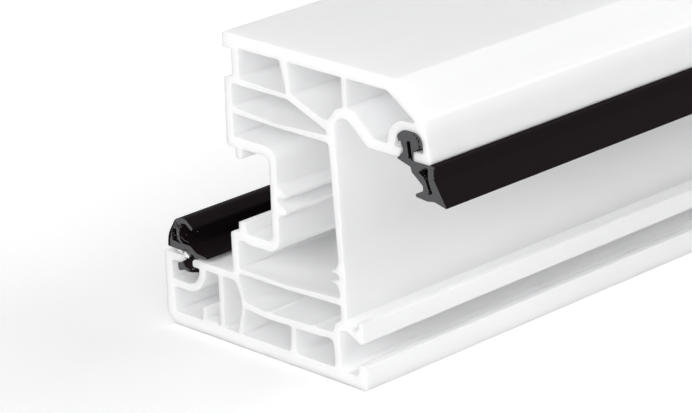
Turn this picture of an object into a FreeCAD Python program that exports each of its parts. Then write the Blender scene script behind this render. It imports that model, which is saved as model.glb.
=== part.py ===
"""Window sash profile: one bar of white hollow-chamber extrusion with its two rubber gaskets.

The section is drawn in the XZ plane as it lies: Z up from the room-side face, X across the
rebates, and the bar runs along Y. Each outline is a list of corners (x, z, radius), and a
corner with a radius is rounded with an arc. All lengths are in millimetres.
"""
import FreeCAD, Part
import math
import os

# The bar
bar_length = 6000.0             # stock length of an extruded bar

# Whole section
sash_depth = 60.0               # room-side face to weather-side face
body_width = 33.4               # hardware side to bead side
overlap_width = 18.3            # flange that laps over the frame, beyond the hardware side
overlap_thickness = 14.2        # of that flange
glazing_reach = 17.1            # glazing flange beyond the bead side
glazing_thickness = 13.9        # of the glazing flange

# Walls
face_wall = 2.65                # room-side face
weather_wall = 2.5              # weather-side face
flange_wall = 2.2               # face of the overlap flange
side_wall = 1.75                # hardware side, and the bead side below the rebate
rebate_wall = 1.5               # wall that the glass edge faces
groove_wall = 1.75              # back of the hardware groove
groove_shelf = 2.05             # walls above and below the hardware groove
skin_wall = 1.5                 # walls round the two gasket grooves and the flange top
rebate_floor_wall = 1.9         # underside of the glazing flange
web = 1.15                      # partitions between chambers
vent_web = 1.25                 # partition under the vent chamber
thin_web = 0.85                 # partition between the slim chamber and the room-side chambers

# Roundings
corner_round = 0.45             # outer corners
edge_round = 0.3                # edges of lips and hooks
fine_round = 0.2                # edges of fins and thin lips
tip_round = 0.1                 # tips of the rubber lips
chamber_round = 0.4             # inner corners of the chambers
soft_round = 0.8                # wider inner corners
bend_round = 10.0               # where a long partition changes its slope

# Hardware groove, open to the frame side
groove_axis_height = 16.5       # above the top of the overlap flange
groove_recess = 16.0            # seat of the hardware faceplate
groove_mouth = 12.1             # between the two lips
groove_depth = 8.6              # from the lips' outer face to the back wall
groove_bend = 1.2               # inner corners of the groove
lip_thickness = 1.65
lip_setback = 2.2               # lips stand back from the hardware side by this
lip_shoulder = 0.5              # step from the lips out to the hardware side

# Notch for a cover strip, at the top of the hardware side
notch_top = 2.9                 # below the weather-side face
notch_height = 5.0
notch_depth = 2.2
notch_slope = 0.5

# Foot chamfer and nose of the glazing flange
foot_chamfer = 2.1
nose_chamfer = 6.2
nose_lean = 1.5                 # the nose leans out by this down to its lower edge
nose_round = 1.6

# Groove of the glazing gasket, in the underside of the glazing flange
glazing_groove_offset = 5.4     # flange tip to the middle of the mouth
glazing_groove_mouth = 2.8
glazing_groove_lead = 0.7       # the mouth widens outwards by this
glazing_groove_left = 3.05      # middle of the mouth to each side of the cavity
glazing_groove_right = 3.6
glazing_groove_lip = 1.7
glazing_groove_height = 3.5
glazing_groove_arc_left = 3.2
glazing_groove_arc_right = 2.0

# Groove of the overlap gasket, in the top of the overlap flange
overlap_groove_offset = 6.4     # flange face to the middle of the mouth
overlap_groove_mouth = 2.2
overlap_groove_lead = 1.1       # the mouth widens inwards by this
overlap_groove_left = 4.55
overlap_groove_right = 2.85
overlap_groove_lip = 1.55
overlap_groove_height = 3.65
overlap_groove_arc = 3.5

# Rebate wall and the dome over the glass edge
rebate_top_setback = 6.05       # from the bead side, at the top
rebate_kink_setback = 4.5       # where the wall turns upright
rebate_kink_height = 21.6
rebate_foot_setback = 4.35
rebate_foot_height = 12.6
dome_height = 3.95              # above the underside of the glazing flange
dome_flat = 3.35
dome_run = 8.1                  # from the rebate wall to the foot of its slope
dome_arc = 1.8
dome_wall_arc = 2.3

# Groove for the glazing bead: two hooked lips
bead_wall_setback = 6.2
bead_step_width = 1.55
upper_hook_setback = 0.4
upper_hook_thickness = 1.25
upper_hook_top = 12.95
upper_hook_bottom = 8.8
upper_hook_nose = 0.8
upper_channel_floor = 10.9
lower_hook_thickness = 1.8
lower_hook_top = 4.8
lower_ledge = 3.15
lower_channel_floor = 2.45

# Steel chamber; its floor and ceiling bend at one place and rise from there
partition_bend = 13.5           # from the hardware side
steel_floor = 15.3
steel_floor_rise = 0.85         # towards the rebate wall
steel_arm_share = 0.37          # height of its upper arm, of the room from the groove to the notch
steel_ceiling_rise = 0.35       # towards the hardware side
screw_rib_reach = 2.1           # ribs behind the hardware groove that hold its screws
screw_rib_height = 30.7         # middle between the two ribs
screw_rib_pitch = 3.0
spacer_fin_reach = 1.75         # small fins that hold the steel off the rebate wall
spacer_fin_height = 20.05       # middle between the two fins
spacer_fin_pitch = 1.9
spacer_fin_thickness = 0.6
spacer_fin_root = 1.7

# Vent chamber, under the steel chamber
vent_floor = 8.75
vent_floor_rise = 0.4           # towards both ends
vent_ridge_first = 12.6         # low ridges on that floor, from the bead side
vent_ridge_second = 24.0
vent_ridge_height = 0.45

# Chambers along the room side
flange_web_place = 4.0          # web in the overlap flange, from the hardware side
room_web_place = 18.9           # web between the two room-side chambers, from the bead side
anchor_fin_place = 9.6          # fin in the flange chamber, from the flange face
anchor_fin_height = 2.7
anchor_fin_thickness = 0.9
slim_bow = 3.0                  # radius of the bowed thin web

# Chambers along the weather side
cap_web_place = 17.1            # webs between them, from the bead side
cap_web_lean = 1.0              # the first web leans by this from top to bottom
cap_web_taper = 0.8             # and is thicker at the top by this
nose_web_place = 3.85
cap_dip_height = 4.2            # their floor beside the dome, above the steel chamber's ceiling

# Both gaskets
seat_clearance = 0.1            # gasket to the walls of its groove

# Glazing gasket
rubber_skin = 0.8               # over the hollow of its foot
glazing_gasket_drop = 7.0       # lowest lip below the flange
glazing_gasket_overhang = 0.9   # of its foot beyond the flange tip
glazing_gasket_wing = 1.75      # lip that seals against the rebate side of its groove

# Overlap gasket
overlap_gasket_standoff = 1.0   # underside of its base above the flange
overlap_gasket_base = 1.35
overlap_gasket_height = 7.5     # top of its lip above the flange
overlap_gasket_left = 5.45      # its base to each side of the groove's middle
overlap_gasket_right = 5.2

# Datum lines that the sizes above give
x_bead = 0.0
x_side = x_bead - body_width
x_flange = x_side - overlap_width
x_tip = x_bead + glazing_reach
x_lip = x_side + lip_setback
x_groove_back = x_lip + groove_depth
x_steel_left = x_side + side_wall
x_steel_back = x_groove_back + groove_wall
x_bend = x_side + partition_bend
x_bead_wall = x_bead - bead_wall_setback
x_rebate_top = x_bead - rebate_top_setback
x_rebate_kink = x_bead - rebate_kink_setback
x_rebate_foot = x_bead - rebate_foot_setback
x_glazing_groove = x_tip - glazing_groove_offset
x_overlap_groove = x_flange + overlap_groove_offset
z_top = sash_depth
z_flange = overlap_thickness
z_glass = sash_depth - glazing_thickness
z_groove_axis = z_flange + groove_axis_height
z_recess_low = z_groove_axis - groove_recess / 2
z_recess_high = z_groove_axis + groove_recess / 2
z_mouth_low = z_groove_axis - groove_mouth / 2
z_mouth_high = z_groove_axis + groove_mouth / 2
z_dome = z_glass + dome_height
z_shelf_high = z_recess_high + groove_shelf
z_notch_floor = z_top - notch_top - notch_height
z_cap_ceiling = z_top - weather_wall
z_cap_floor = z_notch_floor - notch_slope
z_steel_ceiling = z_shelf_high + steel_arm_share * (z_cap_floor - z_shelf_high)
z_cap_dip = z_steel_ceiling + cap_dip_height
z_glazing_cavity = z_glass + glazing_groove_lip + glazing_groove_height
z_overlap_cavity = z_flange - overlap_groove_lip - overlap_groove_height


def wire(corners):
    """Closed wire through the corners, each given as (x, z) or (x, z, radius)."""
    points = [FreeCAD.Vector(c[0], 0, c[1]) for c in corners]
    count = len(points)
    ahead = [points[(i + 1) % count] - points[i] for i in range(count)]
    halves = [(-ahead[i - 1]).getAngle(ahead[i]) / 2 for i in range(count)]
    setbacks = [c[2] / math.tan(half) if len(c) > 2 else 0.0 for c, half in zip(corners, halves)]
    # Two corners that want more than the edge between them share it.
    shares = [0.98 * ahead[i].Length / max(setbacks[i] + setbacks[(i + 1) % count], 1e-9)
              for i in range(count)]
    setbacks = [setbacks[i] * min(1.0, shares[i], shares[i - 1]) for i in range(count)]
    starts = []
    ends = []
    edges = []
    for i, corner in enumerate(points):
        back = -ahead[i - 1].normalize()
        onward = FreeCAD.Vector(ahead[i]).normalize()
        starts.append(corner + back * setbacks[i])
        ends.append(corner + onward * setbacks[i])
        if setbacks[i] > 1e-4:
            radius = setbacks[i] * math.tan(halves[i])
            bisector = (back + onward).normalize()
            middle = corner + bisector * (radius / math.sin(halves[i]) - radius)
            edges.append(Part.Arc(starts[i], middle, ends[i]).toShape())
    for i in range(count):
        following = starts[(i + 1) % count]
        edges.append(Part.LineSegment(ends[i], following).toShape())
    return Part.Wire(Part.__sortEdges__(edges))


def bar(outline, hollows=()):
    """The section with its hollows, run along the whole length of the bar."""
    rings = [wire(outline)] + [wire(hollow) for hollow in hollows]
    face = Part.Face(rings, "Part::FaceMakerBullseye")
    face.translate(FreeCAD.Vector(0, -bar_length / 2, 0))
    return face.extrude(FreeCAD.Vector(0, bar_length, 0))


def flange_outline():
    """Room-side face, flange face and the groove of the overlap gasket."""
    mouth_left = x_overlap_groove - overlap_groove_mouth / 2
    mouth_right = x_overlap_groove + overlap_groove_mouth / 2
    lip_middle = z_flange - overlap_groove_lip / 2
    under_lip = z_flange - overlap_groove_lip
    left = x_overlap_groove - overlap_groove_left
    right = x_overlap_groove + overlap_groove_right
    return [
        (x_bead, 0, corner_round),
        (x_flange + foot_chamfer, 0, corner_round),
        (x_flange, foot_chamfer, corner_round),
        (x_flange, z_flange, corner_round),
        (mouth_left, z_flange, edge_round),
        (mouth_left, lip_middle, fine_round),
        (mouth_left - overlap_groove_lead, under_lip, edge_round),
        (left, under_lip, edge_round),
        (left, z_overlap_cavity, chamber_round),
        (right, z_overlap_cavity, overlap_groove_arc),
        (right, under_lip, fine_round),
        (mouth_right, under_lip, corner_round),
        (mouth_right, z_flange, soft_round),
        (x_side, z_flange, corner_round),
    ]


def hardware_side_outline():
    """Hardware side with the groove between its two lips, and the cover notch above."""
    lip_inside = x_lip + lip_thickness
    lip_root = lip_inside + 0.3
    return [
        (x_side, z_recess_low - lip_shoulder, corner_round),
        (x_lip, z_recess_low, chamber_round),
        (x_lip, z_mouth_low, edge_round),
        (lip_inside, z_mouth_low, edge_round),
        (lip_root, z_recess_low, corner_round),
        (x_groove_back, z_recess_low, groove_bend),
        (x_groove_back, z_recess_high, groove_bend),
        (lip_inside, z_recess_high, edge_round),
        (lip_inside, z_mouth_high, corner_round),
        (x_lip, z_mouth_high, corner_round),
        (x_lip, z_recess_high, edge_round),
        (x_side + lip_shoulder, z_recess_high, fine_round),
        (x_side, z_recess_high + lip_shoulder, edge_round),
        (x_side, z_cap_floor, chamber_round),
        (x_side + notch_depth, z_notch_floor, edge_round),
        (x_side + notch_depth, z_top - notch_top, chamber_round),
        (x_side, z_top - notch_top, edge_round),
        (x_side, z_top, corner_round),
    ]


def glazing_flange_outline():
    """Weather-side face, nose, groove of the glazing gasket and the dome over the glass edge."""
    mouth_left = x_glazing_groove - glazing_groove_mouth / 2
    mouth_right = x_glazing_groove + glazing_groove_mouth / 2
    over_lip = z_glass + glazing_groove_lip
    left = x_glazing_groove - glazing_groove_left
    right = x_glazing_groove + glazing_groove_right
    shoulder = x_tip - nose_lean
    return [
        (shoulder - nose_chamfer, z_top, soft_round),
        (shoulder, z_top - nose_chamfer, nose_round),
        (x_tip, z_glass, corner_round),
        (mouth_right, z_glass, edge_round),
        (mouth_right, over_lip, edge_round),
        (right, over_lip, fine_round),
        (right, z_glazing_cavity, glazing_groove_arc_right),
        (left, z_glazing_cavity, glazing_groove_arc_left),
        (left, over_lip, fine_round),
        (mouth_left, over_lip, edge_round),
        (mouth_left - glazing_groove_lead, z_glass, corner_round),
        (x_rebate_top + dome_run, z_glass, dome_arc),
        (x_rebate_top + dome_flat, z_dome, dome_arc),
        (x_rebate_top, z_dome, dome_wall_arc),
    ]


def bead_side_outline():
    """Rebate wall, and the two hooked lips that the glazing bead clips into."""
    upper_face = x_bead - upper_hook_setback
    upper_inside = upper_face - upper_hook_thickness
    upper_nose = upper_face - 0.15
    channel_left = x_rebate_foot + 1.3
    lower_inside = x_bead - lower_hook_thickness
    step = x_bead_wall + bead_step_width
    return [
        (x_rebate_kink, rebate_kink_height),
        (x_rebate_foot, rebate_foot_height, edge_round),
        (channel_left, upper_channel_floor, corner_round),
        (upper_inside, upper_channel_floor, soft_round),
        (upper_inside, upper_hook_top, edge_round),
        (upper_face, upper_hook_top - 0.3, edge_round),
        (upper_nose, upper_hook_bottom, edge_round),
        (upper_nose - upper_hook_nose, upper_hook_bottom, chamber_round),
        (x_rebate_foot, upper_channel_floor - 0.6, soft_round),
        (x_bead_wall, upper_channel_floor - 1.0, edge_round),
        (x_bead_wall, lower_ledge, edge_round),
        (step - 0.05, lower_ledge, fine_round),
        (step + 0.05, lower_channel_floor, edge_round),
        (lower_inside, lower_channel_floor, soft_round),
        (lower_inside, lower_hook_top, edge_round),
        (x_bead, lower_hook_top - 0.15, edge_round),
    ]


def flange_chamber():
    """Chamber under the overlap gasket's groove, with its anchor fin."""
    left = x_flange + flange_wall
    right = x_side - flange_web_place
    groove_side = x_overlap_groove + overlap_groove_right + skin_wall
    groove_floor = z_overlap_cavity - skin_wall
    ceiling = z_flange - skin_wall
    fin = x_flange + anchor_fin_place
    fin_side = fin + anchor_fin_thickness
    fin_top = face_wall + anchor_fin_height
    raised = face_wall + 0.4
    return [
        (left, face_wall, chamber_round),
        (left, groove_floor, chamber_round),
        (groove_side, groove_floor, overlap_groove_arc + skin_wall),
        (groove_side, ceiling, chamber_round),
        (right, ceiling, chamber_round),
        (right, face_wall, chamber_round),
        (right - 0.7, face_wall, fine_round),
        (right - 1.2, raised, fine_round),
        (fin_side, raised, tip_round),
        (fin_side, fin_top, edge_round),
        (fin, fin_top, edge_round),
        (fin, face_wall, edge_round),
    ]


def slim_chamber():
    """Slim chamber between the flange web and the bowed thin web."""
    left = x_side - flange_web_place + web
    ceiling = z_flange - skin_wall
    return [
        (left, face_wall, chamber_round),
        (left, ceiling, chamber_round),
        (x_side + 0.45, ceiling, chamber_round),
        (x_steel_left - 0.1, vent_floor + 1.5, slim_bow),
        (x_steel_left + 0.2, vent_floor - 1.0, slim_bow),
        (x_side + 0.7, face_wall, chamber_round),
    ]


def room_side_chambers():
    """Two chambers along the room side, split by one web."""
    ceiling = vent_floor - vent_web
    left = x_steel_left + thin_web + 0.15
    middle = x_bead - room_web_place
    beyond = middle + web
    right = x_bead_wall - side_wall
    return [
        [
            (left - 0.9, face_wall, chamber_round),
            (left, ceiling + vent_floor_rise, chamber_round),
            (left + 6.3, ceiling - 0.1, bend_round),
            (middle + 0.25, ceiling + 0.1, corner_round),
            (middle - 0.25, face_wall, corner_round),
        ],
        [
            (beyond + 0.2, face_wall, groove_bend),
            (beyond + 0.05, ceiling + 0.1, soft_round),
            (beyond + 5.0, ceiling + 0.1, bend_round),
            (right, ceiling + vent_floor_rise + 0.1, groove_bend),
            (right + 0.15, face_wall, corner_round),
        ],
    ]


def floor_ridge(x, z):
    """Low ridge on the floor of the vent chamber."""
    return [
        (x - 0.8, z, fine_round),
        (x, z + vent_ridge_height, fine_round),
        (x + 0.45, z, fine_round),
    ]


def vent_chamber():
    """Flat chamber between the room-side chambers and the steel chamber."""
    left = x_steel_left - 0.25
    inner_bead = x_bead_wall - side_wall - 0.1
    inner_rebate = x_rebate_foot - rebate_wall
    ceiling = steel_floor - web + 0.3
    return [
        (left, ceiling, edge_round),
        (left, z_flange - 1.1, corner_round),
        (left + 1.35, vent_floor + vent_floor_rise, soft_round),
        (left + 6.0, vent_floor, bend_round),
        *floor_ridge(x_bead - vent_ridge_second, vent_floor),
        *floor_ridge(x_bead - vent_ridge_first, vent_floor + vent_floor_rise),
        (inner_bead, vent_floor + vent_floor_rise + 0.1, chamber_round),
        (inner_bead + 0.5, upper_channel_floor + 0.1, soft_round),
        (inner_rebate, upper_channel_floor + 1.3, corner_round),
        (inner_rebate, ceiling + 0.45, edge_round),
        (x_bend, ceiling, bend_round),
    ]


def spacer_fins():
    """The two small fins on the rebate wall of the steel chamber, from the top down."""
    face = x_rebate_kink - rebate_wall
    tip = face - spacer_fin_reach
    fillet = face - 0.7
    half = spacer_fin_thickness / 2
    upper = spacer_fin_height + spacer_fin_pitch / 2
    lower = spacer_fin_height - spacer_fin_pitch / 2
    return [
        (face, upper + half + spacer_fin_root, spacer_fin_root),
        (fillet, upper + half, soft_round),
        (tip, upper + half, fine_round),
        (tip, upper - half, fine_round),
        (face, upper - half, soft_round),
        (face, lower + half, soft_round),
        (tip, lower + half, fine_round),
        (tip, lower - half, fine_round),
        (fillet, lower - half, soft_round),
        (face, lower - half - spacer_fin_root, spacer_fin_root),
    ]


def screw_ribs():
    """The two ribs behind the hardware groove, from the bottom up; each has a steep flank."""
    tip = x_steel_back + screw_rib_reach
    upper = screw_rib_height + screw_rib_pitch / 2
    lower = screw_rib_height - screw_rib_pitch / 2
    half = 0.35
    root = 1.4
    return [
        (x_steel_back, lower - root, chamber_round),
        (tip, lower - half, edge_round),
        (tip, lower + half, edge_round),
        (x_steel_back, lower + root, fine_round),
        (x_steel_back, upper - half - 0.2, fine_round),
        (tip, upper - half - 0.1, edge_round),
        (tip, upper + half - 0.1, edge_round),
        (x_steel_back, upper + root + 0.2, corner_round),
    ]


def steel_chamber():
    """Large chamber for the steel stiffener, with its screw ribs and spacer fins."""
    lower_right = x_rebate_kink - rebate_wall
    upper_right = x_rebate_top - rebate_wall
    shelf_low = z_recess_low - groove_shelf
    shelf_dent = 0.35
    bend = groove_bend + groove_wall
    return [
        (x_steel_left, steel_floor + 0.1, edge_round),
        (x_steel_left, shelf_low, chamber_round),
        (x_steel_left + 1.2, shelf_low + shelf_dent, corner_round),
        (x_steel_left + 3.0, shelf_low, soft_round),
        (x_steel_back, shelf_low, bend),
        *screw_ribs(),
        (x_steel_back, z_shelf_high, bend),
        (x_steel_left, z_shelf_high, chamber_round),
        (x_steel_left, z_steel_ceiling + steel_ceiling_rise, chamber_round),
        (x_bend, z_steel_ceiling, bend_round),
        (upper_right, z_steel_ceiling, soft_round),
        *spacer_fins(),
        (lower_right, steel_floor + steel_floor_rise, chamber_round),
        (x_bend, steel_floor, bend_round),
    ]


def cap_underside_chamber():
    """Wedge-shaped chamber between the steel chamber and the weather-side chambers."""
    floor = z_steel_ceiling + web - 0.4
    ceiling = z_cap_floor - web + 0.2
    right = x_rebate_top - rebate_wall - 0.4
    return [
        (x_steel_left, floor + 0.8, corner_round),
        (x_steel_left, ceiling, soft_round),
        (x_bead - cap_web_place - 0.4, ceiling, 2.5),
        (right, z_cap_dip - 2.0, corner_round),
        (right, floor + 0.6, chamber_round),
        (x_bend, floor, bend_round),
    ]


def cap_chamber():
    """Weather-side chamber beside the notch; its web leans."""
    left = x_side + notch_depth + side_wall
    right = x_bead - cap_web_place - web / 2
    return [
        (left, z_cap_floor + 0.4, soft_round),
        (left, z_cap_ceiling, edge_round),
        (right - cap_web_lean - cap_web_taper / 2, z_cap_ceiling, chamber_round),
        (right, z_cap_floor - 0.1, fine_round),
    ]


def dome_chamber():
    """Middle weather-side chamber, whose floor dips beside the dome."""
    left = x_bead - cap_web_place + web / 2
    right = x_bead - nose_web_place
    dome_side = x_rebate_top - rebate_wall
    dome_top = z_dome + groove_shelf
    return [
        (left - cap_web_lean + cap_web_taper / 2, z_cap_ceiling, edge_round),
        (right, z_cap_ceiling, edge_round),
        (right, dome_top - 0.1, fine_round),
        (dome_side + 2.1, dome_top - 0.5, 2.5),
        (dome_side, z_cap_dip, soft_round),
        (dome_side - 1.4, z_cap_dip, groove_bend),
        (left, z_cap_floor + 0.3, edge_round),
    ]


def nose_chamber():
    """Chamber of the glazing flange, round the cavity of the gasket groove."""
    left = x_bead - nose_web_place + web
    dome_top = z_dome + groove_shelf
    slope_top = x_rebate_top + dome_flat + 1.85
    slope_foot = x_rebate_top + dome_run + 1.65
    floor = z_glass + rebate_floor_wall
    groove_left = x_glazing_groove - glazing_groove_left - skin_wall - 0.2
    groove_top = z_glazing_cavity + skin_wall
    nose = x_tip - nose_lean - nose_chamfer
    return [
        (left, z_cap_ceiling, chamber_round),
        (nose - 2.2, z_cap_ceiling, soft_round),
        (nose + 4.35, groove_top + 0.25, fine_round),
        (nose + 3.2, groove_top, soft_round),
        (groove_left, groove_top, glazing_groove_arc_left + groove_bend),
        (groove_left - 0.1, floor, edge_round),
        (slope_foot, floor, soft_round),
        (slope_top, dome_top, soft_round),
        (left, dome_top + 0.2, chamber_round),
    ]


def sash_profile():
    """The white extrusion: outer outline less its ten chambers."""
    outline = (flange_outline() + hardware_side_outline()
               + glazing_flange_outline() + bead_side_outline())
    hollows = [
        flange_chamber(),
        slim_chamber(),
        *room_side_chambers(),
        vent_chamber(),
        steel_chamber(),
        cap_underside_chamber(),
        cap_chamber(),
        dome_chamber(),
        nose_chamber(),
    ]
    return bar(outline, hollows)


def placed(corners, x, z):
    """Corners given from a groove's mouth, moved to that mouth."""
    return [(x + c[0], z + c[1], *c[2:]) for c in corners]


def glazing_gasket():
    """Gasket on the glazing flange: mushroom head, neck, and a hollow foot with two lips."""
    neck = glazing_groove_mouth / 2 - 0.15 - seat_clearance
    shoulder = glazing_groove_lip + seat_clearance
    head_top = glazing_groove_lip + glazing_groove_height - 2 * seat_clearance
    head_left = -neck - 1.1
    head_right = glazing_groove_right - 2 * seat_clearance
    right = glazing_groove_offset + glazing_gasket_overhang
    bottom = -glazing_gasket_drop
    outline = [
        (-neck - glazing_gasket_wing, -0.25, tip_round),
        (-neck - 0.6, -seat_clearance, chamber_round),
        (-neck + 0.3, shoulder - 0.3, soft_round),
        (-neck - 0.35, shoulder + 0.5, edge_round),
        (-neck - 0.45, shoulder + 1.15, tip_round),
        (head_left, shoulder + 1.1, tip_round),
        (head_left, head_top - 0.25, 2.2),
        (head_right, head_top, 2.1),
        (head_right, shoulder + 0.95, fine_round),
        (neck, shoulder, chamber_round),
        (neck, -seat_clearance, chamber_round),
        (neck + 2.2, -2 * seat_clearance, soft_round),
        (right - 1.0, -seat_clearance, corner_round),
        (right, 0.1, edge_round),
        (right - 0.15, -2.6, soft_round),
        (right + 2.6, bottom, tip_round),
        (right - 0.3, bottom + 0.68, 1.5),
        (right - 2.0, bottom + 0.42, 1.5),
        (neck + 0.45, bottom + 0.65, fine_round),
        (neck + 0.5, bottom + 1.2, fine_round),
        (neck + 2.2, bottom + 2.05, edge_round),
        (neck + 2.25, bottom + 3.0, edge_round),
        (neck - 0.3, bottom + 4.85, chamber_round),
        (neck - 0.6, bottom + 5.8, chamber_round),
    ]
    hollow = [
        (neck + 1.3, -1.9, tip_round),
        (neck + 2.2, -1.1, chamber_round),
        (neck + 3.4, -rubber_skin, fine_round),
        (neck + 3.6, -2.6, soft_round),
        (neck + 4.5, bottom + 2.25, fine_round),
        (neck + 3.4, bottom + 1.65, fine_round),
        (neck + 3.5, bottom + 2.6, corner_round),
        (neck + 2.9, -2.8, corner_round),
    ]
    slot_bottom = 0.3
    slot_top = shoulder + 1.6
    slot = [
        (-neck / 2 + 0.45, slot_bottom, edge_round),
        (-neck / 2 + 0.35, slot_top, edge_round),
        (neck - 0.5, slot_top, edge_round),
        (neck - 0.35, slot_bottom, edge_round),
    ]
    return bar(placed(outline, x_glazing_groove, z_glass),
               [placed(ring, x_glazing_groove, z_glass) for ring in (hollow, slot)])


def overlap_gasket():
    """Gasket on the overlap flange: anchor foot, base plate and a hollow lip that bends."""
    neck = overlap_groove_mouth / 2 - 2 * seat_clearance
    neck_left = neck - 0.65
    under_lip = -overlap_groove_lip - seat_clearance
    foot_right = overlap_groove_right - 0.4
    foot_bottom = under_lip - 1.6
    base = overlap_gasket_standoff
    base_top = base + overlap_gasket_base
    lip_top = overlap_gasket_height
    outline = [
        (-overlap_gasket_left, base, fine_round),
        (0.25 - overlap_gasket_left, base_top + 1.05, 4.0),
        (-3.1, lip_top - 0.6, 1.8),
        (-0.6, lip_top, 1.8),
        (1.55, lip_top - 1.55, edge_round),
        (1.2, lip_top - 2.15, edge_round),
        (-0.4, lip_top - 1.1, soft_round),
        (-1.6, lip_top - 1.2, soft_round),
        (-2.0, lip_top - 2.6, corner_round),
        (-2.0, base_top + 0.6, chamber_round),
        (-1.3, base_top, edge_round),
        (0.6, base_top, corner_round),
        (2.3, base + 0.3, soft_round),
        (overlap_gasket_right, base, tip_round),
        (overlap_gasket_right - 0.4, base - 0.35, fine_round),
        (2.4, base - 0.5, soft_round),
        (neck, 0.05, corner_round),
        (neck, under_lip, fine_round),
        (foot_right, under_lip - 0.1, fine_round),
        (foot_right - 0.3, under_lip - 0.95, edge_round),
        (0.5, foot_bottom + 0.2, soft_round),
        (-1.2, foot_bottom + 0.5, corner_round),
        (-2.8, foot_bottom, edge_round),
        (-3.0, under_lip - 0.35, fine_round),
        (-neck - overlap_groove_lead, under_lip - 0.15, fine_round),
        (-neck + 0.05, -overlap_groove_lip / 2 - 0.2, fine_round),
        (-neck + 0.1, -0.5, fine_round),
        (neck_left, -0.3, edge_round),
        (neck_left, 0.3, chamber_round),
        (-0.6, base - 0.1, corner_round),
    ]
    hollow = [
        (-4.15, base_top + 0.2, fine_round),
        (-4.1, base_top + 2.2, corner_round),
        (-3.0, base_top + 2.7, edge_round),
        (-3.0, base_top + 0.15, fine_round),
    ]
    return bar(placed(outline, x_overlap_groove, z_flange),
               [placed(hollow, x_overlap_groove, z_flange)])


def main():
    """Builds the three pieces about the middle of their common box, and writes them."""
    pieces = {
        "sash_profile": sash_profile(),
        "glazing_gasket": glazing_gasket(),
        "overlap_gasket": overlap_gasket(),
    }
    box = FreeCAD.BoundBox()
    for shape in pieces.values():
        box.add(shape.BoundBox)
    os.makedirs("parts", exist_ok=True)
    for name, shape in pieces.items():
        shape.translate(FreeCAD.Vector(-box.Center.x, 0, 0))
        shape.exportStep("parts/" + name + ".step")
        print(name, shape.isValid(), len(shape.Solids), round(shape.Volume / bar_length, 1),
              "mm2", round(shape.BoundBox.XMin, 2), round(shape.BoundBox.XMax, 2))


main()
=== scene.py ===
"""A white window sash profile with its two black gaskets: a long bar's sawn end, on a pale studio floor."""

import math
import random

import bmesh
import bpy
from bpy.props import FloatProperty, FloatVectorProperty, IntProperty, PointerProperty
from mathutils import Matrix, Vector, noise
from mathutils.bvhtree import BVHTree
from mathutils.geometry import delaunay_2d_cdt
from mathutils.kdtree import KDTree


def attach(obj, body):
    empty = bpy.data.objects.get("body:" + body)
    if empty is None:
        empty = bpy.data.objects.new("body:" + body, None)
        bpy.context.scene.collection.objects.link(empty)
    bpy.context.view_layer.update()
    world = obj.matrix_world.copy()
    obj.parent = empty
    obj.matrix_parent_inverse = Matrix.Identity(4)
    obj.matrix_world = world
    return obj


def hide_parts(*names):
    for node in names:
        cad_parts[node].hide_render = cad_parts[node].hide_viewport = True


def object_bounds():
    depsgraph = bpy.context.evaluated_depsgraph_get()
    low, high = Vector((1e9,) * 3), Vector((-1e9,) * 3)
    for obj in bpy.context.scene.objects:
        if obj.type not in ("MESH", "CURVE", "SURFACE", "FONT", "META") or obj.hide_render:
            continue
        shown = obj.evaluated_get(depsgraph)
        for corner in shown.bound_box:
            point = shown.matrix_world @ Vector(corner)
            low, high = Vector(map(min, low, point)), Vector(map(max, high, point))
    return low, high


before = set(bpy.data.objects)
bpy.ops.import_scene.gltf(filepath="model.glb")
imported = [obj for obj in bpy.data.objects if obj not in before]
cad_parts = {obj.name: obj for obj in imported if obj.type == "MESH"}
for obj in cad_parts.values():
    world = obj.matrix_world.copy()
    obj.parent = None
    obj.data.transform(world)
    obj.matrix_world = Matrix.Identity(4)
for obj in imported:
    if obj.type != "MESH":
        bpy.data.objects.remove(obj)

bl_info = {
    "name": "Window sash profile",
    "version": (1, 0, 0),
    "blender": (4, 5, 0),
    "location": "View3D > Sidebar > Sash",
    "description": "Builds the sawn bar, its gaskets and the studio around the packed section",
    "category": "Add Mesh",
}

CAD_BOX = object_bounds()
CUT_END = CAD_BOX[0].y
FAR_END = CAD_BOX[1].y
BAR_FOOT = Vector((0, CUT_END, 0))
MM = 0.001

# Studio lights, far off and broad: name, degrees round from the sawn end to the rebate side, degrees up,
# strength
LIGHTS = (
    ("Low front light", 0, 12, 0.65),
    ("Low right light", 30, 12, 1.03),
    ("Front light", 0, 35, 0.76),
    ("Right light", 60, 35, 0.52),
    ("Back right light", 120, 35, 0.7),
    ("Far back right light", 150, 35, 0.58),
    ("Left light", -90, 35, 0.24),
    ("High back left light", -135, 60, 0.34),
    ("High back light", 180, 60, 0.16),
)
LIGHT_BREADTH = math.radians(32)

# The floor's half width and how far it lies under the bar; the camera's sensor, in mm, and its range
FLOOR_REACH = 12
FLOOR_GAP = 0.02 * MM
SENSOR = 36
CAMERA_RANGE = (0.01, 100)

# Reading and shading the section: points closer than this are one, corners sharper than this stay sharp
WELD = 2e-6
SHARP_ANGLE = math.radians(28)
BAR_STATIONS = 5

# A piece's materials: its skin or its rubber first, its cut face or its sawdust second
SKIN, CUT = 0, 1

# Fineness of the gaskets' cut ends
OUTLINE_STEP = 0.15 * MM
CUT_GRID = 0.2 * MM
GRID_MARGIN = 0.6 * CUT_GRID
BROAD_TEAR = 1.3 * MM
FINE_TEAR = 0.3 * MM
DEEPEST_TEAR = 2.2 * MM
# Pits torn deeper than this are painted black with the rubber skin, as painted shade
PAINTED_SHADE_DEPTH = 0.2 * MM

# Shares of the gaskets' tear: the middle of the cut face, its broad and fine waves, and the frayed outlines;
# and the share of its width by which the edge of a black smear, of skin or of painted shade, wanders
TEAR_MIDDLE, BROAD_SHARE, FINE_SHARE = 0.5, 0.3, 0.2
OUTSIDE_FRAY, HOLLOW_FRAY = 0.3, 0.5
SKIN_AND_SHADE_FRAY = 0.5

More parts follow.
